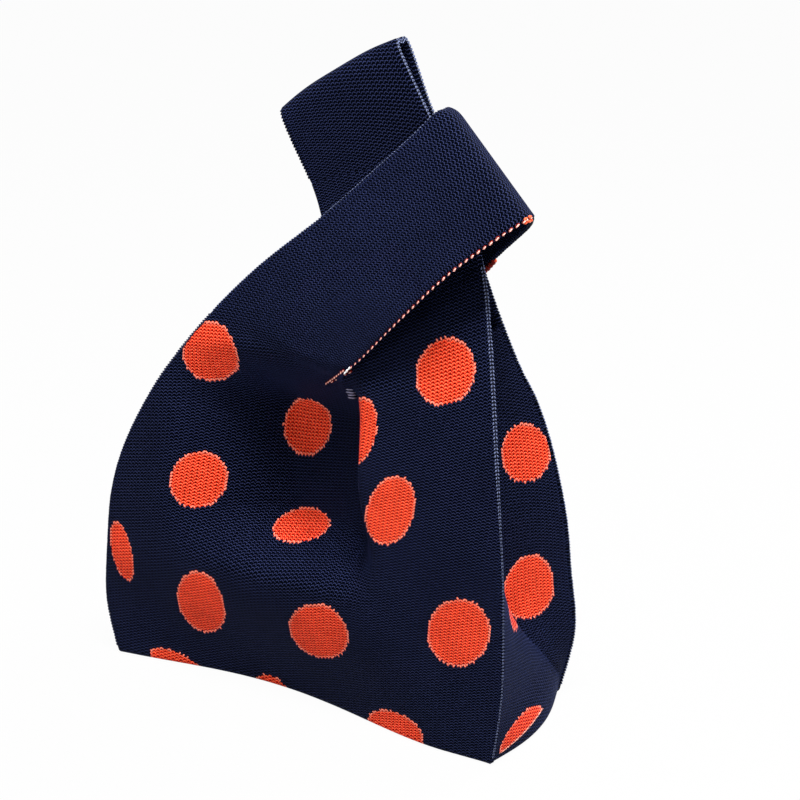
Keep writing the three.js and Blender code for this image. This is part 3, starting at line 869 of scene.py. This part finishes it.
grids = body_grids()
left, right_front, right_back = grids
body_patches = [*zip(grids, body_lengths_across(), body_fabric_lengths(*grids))]
right_patch = gusset_patch(long_strip, 1, right_gusset_depth, right_gusset_drop, RIGHT_GUSSET_TOP,
                           right_gusset_fold)
left_patch = gusset_patch(short_strip, -1, left_gusset_depth, no_drop, GUSSET_TOP_ROW,
                          left_gusset_depth)
ring, inward = foot_ring(left, right_front, right_patch[0], right_back, left, left_patch[0])
body_dots = [dot_shape(body_patches, *dot) for dot in BODY_DOTS]
dotted_knit = knit_material("navy_cotton_knit_with_coral_dots", body_dots)
left_patch_on_feet = with_foot(with_foot(body_patches[0], ring, inward), ring, inward, at_end=True)
bag_fabric = add_fabric(
    "bag_fabric", [
        (*left_patch_on_feet, True),
        (*with_foot(body_patches[1], ring, inward), False),
        (*with_foot(body_patches[2], ring, inward, at_end=True), False),
    ], dotted_knit, "front_panel", "back_panel", "front_left_shoulder", "short_strap",
    "back_left_shoulder", "front_right_shoulder", "back_right_shoulder",
)
rides_on_strap_hinge(bag_fabric)


def long_strap_fabric(name, first_row, last_row, start, *nodes):
    points = grid(long_strip, first_row, last_row)
    patch = (points, run_length(points, 1), strap_lengths(points, start), False)
    return add_fabric(name, [patch], plain_knit, *nodes)


def blend_along(piece, lower, upper, direction, first, last):
    """Bakes a piece's place into its mesh and bends nothing. Its two bodies, direction and two
    distances are not used.
    """
    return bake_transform(piece)


def bends_with_wrist(piece):
    """Bakes the wrist loop's place into its mesh, without bending it over the band's upper edge."""
    return blend_along(piece, "long_strap", "wrist", np.array(WRIST_UP), *WRIST_BEND)


last = long_strip.last_row
front_sleeve = long_strap_fabric("long_strap_front_fabric", CUT_ROW, LOOP_CUT_ROW,
                                 body_patches[1][2][-1, 0], "long_strap_front")
back_sleeve = long_strap_fabric("long_strap_back_fabric", last - LOOP_CUT_ROW, last - CUT_ROW, 0,
                                "long_strap_back")
for sleeve in (front_sleeve, back_sleeve):
    blend_along(sleeve, "straps", "long_strap", long_strip.direction, *LONG_BEND)
wrist_fabric = long_strap_fabric("wrist_loop_fabric", LOOP_CUT_ROW, last - LOOP_CUT_ROW, 0,
                                 "wrist_loop", "loop_bend_front", "loop_bend_back")
bends_with_wrist(wrist_fabric)

right_gusset_dots = [dot_shape([right_patch], *dot) for dot in RIGHT_GUSSET_DOTS]
right_gusset_knit = knit_material(
    "right_gusset_cotton_knit", [*right_gusset_dots, LIP_DOT, SEAM_DOT], SEAM_SLOPE
)
left_gusset_knit = knit_material(
    "left_gusset_cotton_knit", [dot_shape([left_patch], *dot) for dot in LEFT_GUSSET_DOTS]
)
for node, patch, turned, finish in (("right_gusset", right_patch, False, right_gusset_knit),
                                    ("left_gusset", left_patch, True, left_gusset_knit)):
    patches = [(*with_foot(patch, ring, inward), turned)]
    rides_on_strap_hinge(add_fabric(node + "_fabric", patches, finish, node))


def add_base():
    """A flat panel that the feet of the four walls run into."""
    outline = (ring + inward * FOOT_RADIUS)[:, :2]
    count = len(outline)
    corners = np.vstack([np.insert(outline, 2, z, axis=1) for z in (0, FABRIC)])
    sides = [(k, (k + 1) % count, count + (k + 1) % count, count + k) for k in range(count)]
    faces = [range(count - 1, -1, -1), range(count, 2 * count), *sides]
    dots = [(place, 0, (DOT_RADIUS, DOT_RADIUS)) for place in BASE_DOTS]
    piece = mesh_piece("base_fabric", corners, faces, corners[:, :2] * (1, -1),
                       knit_material("base_cotton_knit", dots), smooth_faces=False)
    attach(piece, "bag_body")
    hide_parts("base_panel")


add_base()


# Stitched edges: chains of small yarn links, laid by Geometry Nodes along a line of points
def chain_tree(name, yarns):
    """A node tree that lays one link at each step of a line. A link has one leg, an ellipsoid, for
    each of the yarns. The line's points carry which way is out, and a girth."""
    tree = bpy.data.node_groups.new(name, "GeometryNodeTree")
    add = partial(add_node, tree)
    legs = range(len(yarns))
    kinds = {"Line": "Geometry", "Pitch": "Float", "Unevenness": "Float", "Seed": "Int"}
    for leg in legs:
        kinds[f"Leg {leg} place"] = "Vector"
        kinds[f"Leg {leg} size"] = "Vector"
        kinds[f"Leg {leg} slant"] = "Float"
    sockets = {
        label: tree.interface.new_socket(name=label, in_out="INPUT",
                                         socket_type="NodeSocket" + kind)
        for label, kind in kinds.items()
    }
    tree.interface.new_socket(name="Chain", in_out="OUTPUT", socket_type="NodeSocketGeometry")
    given = add("NodeGroupInput").outputs
    curve = add("GeometryNodeMeshToCurve", given["Line"])
    places = add("GeometryNodeResampleCurve", curve, mode="LENGTH",
                 inputs={"Length": given["Pitch"]})
    ball = add("GeometryNodeMeshUVSphere", LINK_SIDES, LINK_RINGS, 0.5)
    round_ball = add("GeometryNodeSetShadeSmooth", ball)
    link = add("GeometryNodeJoinGeometry")
    for leg in legs:
        numbered = add("GeometryNodeStoreNamedAttribute", round_ball, data_type="INT",
                       domain="FACE", inputs={"Name": "leg", "Value": leg})
        slant = add("ShaderNodeCombineXYZ", inputs={"Z": given[f"Leg {leg} slant"]})
        placed = add("GeometryNodeTransform", numbered, given[f"Leg {leg} place"],
                     add("FunctionNodeEulerToRotation", slant), given[f"Leg {leg} size"])
        tree.links.new(placed.outputs[0], link.inputs[0])
    outward = add("GeometryNodeInputNamedAttribute", "outward", data_type="FLOAT_VECTOR")
    girth = add("GeometryNodeInputNamedAttribute", "girth", data_type="FLOAT")
    turn = add("FunctionNodeAxesToRotation", add("GeometryNodeInputTangent"), outward,
               primary_axis="X", secondary_axis="Z")
    varied = add("FunctionNodeRandomValue", add(MATH, 1, given["Unevenness"], operation="SUBTRACT"),
                 add(MATH, 1, given["Unevenness"], operation="ADD"), data_type="FLOAT",
                 inputs={"Seed": given["Seed"]})
    width = add(MATH, girth, varied, operation="MULTIPLY")
    scale = add("ShaderNodeCombineXYZ", varied, width, width)
    laid = add("GeometryNodeInstanceOnPoints", places,
               inputs={"Instance": link, "Rotation": turn, "Scale": scale})
    chain = add("GeometryNodeRealizeInstances", laid)
    leg_number = add("GeometryNodeInputNamedAttribute", "leg", data_type="INT")
    for leg, yarn in enumerate(yarns):
        is_leg = add(MATH, leg_number, leg, 0.5, operation="COMPARE")
        chain = add("GeometryNodeSetMaterial", chain, is_leg, yarn)
    add("NodeGroupOutput", chain)
    return tree, sockets


def lay_chain(name, points, outward, girth, pitch, legs, seed):
    """A chain of links along points in millimetres, as a plain mesh. Each of a link's legs is its
    place, size, slant in degrees and yarn."""
    mesh = bpy.data.meshes.new(name)
    mesh.from_pydata((points * MM).tolist(), [(k, k + 1) for k in range(len(points) - 1)], [])
    ways = mesh.attributes.new("outward", "FLOAT_VECTOR", "POINT")
    ways.data.foreach_set("vector", outward.astype(np.float32).ravel())
    girths = mesh.attributes.new("girth", "FLOAT", "POINT")
    girths.data.foreach_set("value", girth.astype(np.float32))
    piece = add_object(name, mesh)
    tree, sockets = chain_tree(name, [yarn for *_, yarn in legs])
    modifier = piece.modifiers.new(name, "NODES")
    modifier.node_group = tree
    sizes = {"Pitch": pitch * MM, "Unevenness": STITCH_UNEVENNESS, "Seed": seed}
    for leg, (place, size, slant, _) in enumerate(legs):
        sizes[f"Leg {leg} place"] = [length * MM for length in place]
        sizes[f"Leg {leg} size"] = [length * MM for length in size]
        sizes[f"Leg {leg} slant"] = math.radians(slant)
    for label, size in sizes.items():
        modifier[sockets[label].identifier] = size
    evaluated = piece.evaluated_get(bpy.context.evaluated_depsgraph_get())
    plain = bpy.data.meshes.new_from_object(evaluated)
    plain.name = name
    piece.modifiers.clear()
    piece.data = plain
    return piece


def edge_line(strip, edge, first_row, last_row, forward, lift):
    """Points along a strip's edge, lifted outwards, and the way out at each. Forward says how far
    the way out turns from the fabric's own plane towards its outer face."""
    steps = max(2, round(abs(last_row - first_row) * EDGE_STEPS))
    rows = np.linspace(first_row, last_row, steps + 1)
    here = strip_point(strip, rows, float(edge))
    inner = strip_point(strip, rows, EDGE_MARGIN if edge == 0 else 1 - EDGE_MARGIN)
    out = unit(here - inner)
    facing = unit(np.cross(np.gradient(here, axis=0), out))
    away = np.where(rows < strip.fold_row, -1, 1)
    facing *= np.sign(facing[:, 1] * away + 1e-9)[:, None]
    way = unit(out + forward * facing)
    return here + way * lift, way, rows


def chain_legs(length, thickness, spread, slant, yarn):
    """A chain stitch, in millimetres and degrees: two slanting legs over a dark rolled edge."""
    size = (length, thickness, thickness)
    edge_size = (1.3 * length, spread + 1.4 * thickness, 1.2 * thickness)
    return [
        ((0, spread / 2, 0), size, -slant, yarn), ((0, -spread / 2, 0), size, slant, yarn),
        ((0, 0, -0.45 * thickness), edge_size, 0, dark_yarn),
    ]


def add_chain(name, node, strip, edge, rows, legs, pitch, seed, forward=0,
              girth_at=np.ones_like, lift=1.25, bend=rides_on_strap_hinge):
    """A chain along a strip's edge, from the first to the last of two rows."""
    points, way, rows = edge_line(strip, edge, *rows, forward, lift)
    piece = lay_chain(name, points, way, girth_at(rows), pitch, legs, seed)
    bend(piece)
    if node:
        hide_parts(node)


def slack_below(rows):
    """The front crease's chain pulls in to a single row of stitches lower down."""
    return mix(0.4, 1.0, smooth((rows - 3.2) / 1.6))


def fuller_above(rows):
    """The dashes are drawn tight near the neck and fuller towards the tip."""
    return mix(0.75, 1.05, smooth((rows - 7.5) / 2))


# Stitches of the edges: each leg's place and size in mm, its slant in degrees and its yarn
# Legs in the lighter edge yarn are painted highlight, those in the dimmer copy painted shade
SEAM_LEGS = chain_legs(1.3, 0.7, 1.3, 32, edge_yarn)
SHADED_SEAM_LEGS = chain_legs(1.4, 0.7, 1.2, 30, edge_yarn_shaded_copy)
WRIST_LEGS = chain_legs(1.5, 0.65, 1.1, 30, edge_yarn)
SHADED_EDGE_LEGS = chain_legs(1.5, 0.65, 0.9, 30, edge_yarn_shaded_copy)
UPPER_EDGE_LEGS = chain_legs(1.1, 0.55, 0.9, 30, edge_yarn)
CORD_LEGS = [((0, 0, 0), (2.3, 1.3, 1.3), 12, dark_yarn)]
# A small pale leg on top of a coral or dark red stitch is a painted highlight
DASH_LEGS = [
    ((0, 0, 0), (3.0, 1.4, 1.1), 16, shaded_coral_yarn), ((0, 0, 0.35), (2.3, 0.85, 1.0), 16, coral_highlight_yarn),
]
BLOCK_LEGS = [
    ((0, 0.9, 0), (2.6, 1.5, 1.5), 10, coral_yarn), ((0, -0.9, 0), (2.6, 1.5, 1.5), 10, coral_yarn),
    ((0.3, 0.5, 0.6), (1.5, 0.7, 0.8), 16, coral_highlight_yarn),
]
# The back spot's dark red legs are its coral yarn with painted shade
BACK_SPOT_LEGS = [
    ((0, 0.9, 0), (2.6, 2.0, 3.2), 10, coral_yarn), ((0, -0.9, 0), (2.6, 2.0, 3.2), 10, shaded_coral_yarn),
    ((1.1, 0, 0.2), (1.2, 3.4, 3.2), 16, shaded_coral_yarn),
]
# The bar tacks' dark red legs are coral yarn with painted shade
TACK_LEGS = [
    ((0, 0, 0), (2.9, 1.3, 1.0), 12, shaded_coral_yarn), ((0, 0, 0.3), (2.3, 0.7, 0.9), 12, coral_highlight_yarn),
]
SHADED_TACK_LEGS = [
    ((0, 0, 0), (3.4, 1.4, 1.0), 8, shaded_coral_yarn), ((0, 0, 0.35), (2.0, 0.5, 0.7), 8, coral_highlight_yarn),
]
THREAD_LEGS = [((0, 0, 0), (2.6, 0.95, 0.95), 10, white_thread)]
WRAP_LEGS = [
    ((0, 0, 0), (2.0, 4.6, 3.0), 0, dark_yarn), ((0, 0, 0.35), (0.85, 5.4, 3.8), -14, knot_yarn),
]

short_last, long_last, fold = short_strip.last_row, long_strip.last_row, short_strip.fold_row
# The right seams take the lighter edge yarn, and the left seams, in shade, the dimmer copy
for seed, (node, strip, rows, legs, girth_at) in enumerate((
    ("front_right_seam", long_strip, (0.06, 8), SEAM_LEGS, slack_below),
    ("back_right_seam", long_strip, (long_last - 0.06, long_last - 8), SEAM_LEGS, np.ones_like),
    ("front_left_seam", short_strip, (0.06, 6), SHADED_SEAM_LEGS, np.ones_like),
    ("back_left_seam", short_strip, (short_last - 0.06, short_last - 6), SHADED_SEAM_LEGS,
     np.ones_like),
)):
    add_chain(node + "_chain", node, strip, 1, rows, legs, 1.75, seed, forward=0.9,
              girth_at=girth_at)
add_chain("short_strap_upper_chain", "short_strap_upper_edging", short_strip, 1,
          (6.1, short_last - 6.1), UPPER_EDGE_LEGS, 1.7, 11)
add_chain("short_strap_neck_dashes", "short_strap_neck_edging", short_strip, 0, (6.5, fold - 0.8),
          DASH_LEGS, 3.6, 21, forward=0.8, girth_at=fuller_above)
add_chain("short_strap_tip_block", None, short_strip, 0, (fold - 0.7, fold - 0.1), BLOCK_LEGS, 2.3,
          22, forward=0.7)
add_chain("short_strap_back_spot", None, short_strip, 0, (BACK_SPOT_ROW, BACK_SPOT_ROW + 0.3),
          BACK_SPOT_LEGS, 2.3, 24, forward=0.2)
add_chain("short_strap_back_neck_cord", None, short_strip, 0, (fold, short_last - 6.1), CORD_LEGS,
          2.2, 23, lift=0.7)
# The wrist loop's left chain, in shade, takes the dimmer copy of the edge yarn
for side, edge, legs, seed in (("left", 0, SHADED_EDGE_LEGS, 31), ("right", 1, WRIST_LEGS, 32)):
    add_chain(f"wrist_loop_{side}_chain", f"wrist_loop_{side}_edging", long_strip, edge,
              (LOOP_CUT_ROW + 0.2, long_last - LOOP_CUT_ROW - 0.2), legs, 1.7, seed,
              bend=bends_with_wrist)


# The foot of the neck slit: bar tacks of coral yarn, and the tied yarn end beside the front one
def face_frame(strip, row, across, on_back=False, step=0.05):
    """A point of a face, and the way out of the bag there."""
    row = strip.last_row - row if on_back else row
    here = strip_point(strip, row, across)
    right = strip_point(strip, row, across + step) - here
    up = strip_point(strip, row + step, across) - here
    out = unit(np.cross(right, up))
    return here, out * np.sign(out[1]) * (-1 if row < strip.fold_row else 1)


def raised_point(strip, row, across, lift, on_back=False):
    here, out = face_frame(strip, row, across, on_back)
    return here + out * lift


def add_stitches(name, node, start, end, out, pitch, legs, seed):
    """A straight row of stitches between two points, on the body."""
    count = 8
    points = np.linspace(start, end, count)
    piece = lay_chain(name, points, np.tile(out, (count, 1)), np.ones(count), pitch, legs, seed)
    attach(piece, "bag_body")
    if node:
        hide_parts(node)


for side, on_back in (("front", False), ("back", True)):
    out = face_frame(long_strip, *TACK_FACE, on_back)[1]
    add_stitches(f"{side}_bar_tack", f"{side}_neck_tack",
                 raised_point(short_strip, *TACK_START, on_back),
                 raised_point(short_strip, *TACK_END, on_back), out, 2.9, TACK_LEGS,
                 41)
    add_stitches(f"{side}_bar_tack_second_row", None,
                 raised_point(short_strip, *SECOND_TACK_START, on_back),
                 raised_point(long_strip, *SECOND_TACK_END, on_back), out, 3.3, SHADED_TACK_LEGS,
                 44)
add_chain("white_thread_stitch", None, short_strip, 0, (6.46, 6.62), THREAD_LEGS, 2.2, 42,
          forward=2, lift=2.2)
knot_middle = raised_point(long_strip, *KNOT_PLACE)
half_knot = KNOT_HALF_LENGTH * np.array(KNOT_AXIS)
add_stitches("yarn_end_knot_wraps", "yarn_end_knot", knot_middle - half_knot,
             knot_middle + half_knot, KNOT_FACE, 1.35, WRAP_LEGS, 43)


# Camera, light and floor
def set_camera():
    azimuth, elevation = (math.radians(angle) for angle in CAMERA_ANGLES)
    back = Vector((
        math.sin(azimuth) * math.cos(elevation), -math.cos(azimuth) * math.cos(elevation),
        math.sin(elevation),
    ))
    data = bpy.data.cameras.new("camera")
    data.lens = CAMERA_LENS
    camera = add_object("camera", data)
    camera.location = Vector(CAMERA_AIM) + CAMERA_DISTANCE * back
    camera.rotation_euler = (-back).to_track_quat("-Z", "Y").to_euler()
    bpy.context.scene.camera = camera


def add_softbox(name, place, size, power):
    data = bpy.data.lights.new(name, "AREA")
    data.size = size
    data.energy = power
    lamp = add_object(name, data)
    lamp.location = place
    lamp.rotation_euler = (Vector(LAMP_AIM) - Vector(place)).to_track_quat("-Z", "Y").to_euler()


def seen_share(add):
    """1 for light that the camera sees, also by way of metal or glass, and 0 for other light."""
    rays = add("ShaderNodeLightPath").outputs
    seen = add(MATH, rays["Is Camera Ray"], rays["Is Glossy Ray"], operation="MAXIMUM")
    return add(MATH, seen, rays["Is Transmission Ray"], operation="MAXIMUM")


def add_floor():
    """A matt pale floor, which the camera sees as nearly white with a faint shadow."""
    mesh = bpy.data.meshes.new("floor")
    corners = [(x * FLOOR_REACH, y * FLOOR_REACH, 0)
               for x, y in ((-1, -1), (1, -1), (1, 1), (-1, 1))]
    mesh.from_pydata(corners, [], [(0, 1, 2, 3)])
    material, add = new_material("pale_studio_floor")
    glow_share = add(MATH, seen_share(add), FLOOR_GLOW, operation="MULTIPLY")
    matt = add("ShaderNodeBsdfDiffuse", linear("#a8a8a8"))
    glow = add("ShaderNodeEmission", linear("#ffffff"), 1.0)
    add("ShaderNodeOutputMaterial", add("ShaderNodeMixShader", glow_share, matt, glow))
    mesh.materials.append(material)
    add_object("floor", mesh)


def set_world():
    world = bpy.data.worlds.new("studio")
    bpy.context.scene.world = world
    world.use_nodes = True
    world.node_tree.nodes.clear()
    add = partial(add_node, world.node_tree)
    strength = add(RANGE, seen_share(add), 0, 1, ROOM_LIGHT, 1)
    add("ShaderNodeOutputWorld", add("ShaderNodeBackground", linear("#ffffff"), strength))


set_camera()
add_floor()
set_world()
for lamp in LAMPS:
    add_softbox(*lamp)
bpy.context.scene.view_settings.view_transform = "Standard"
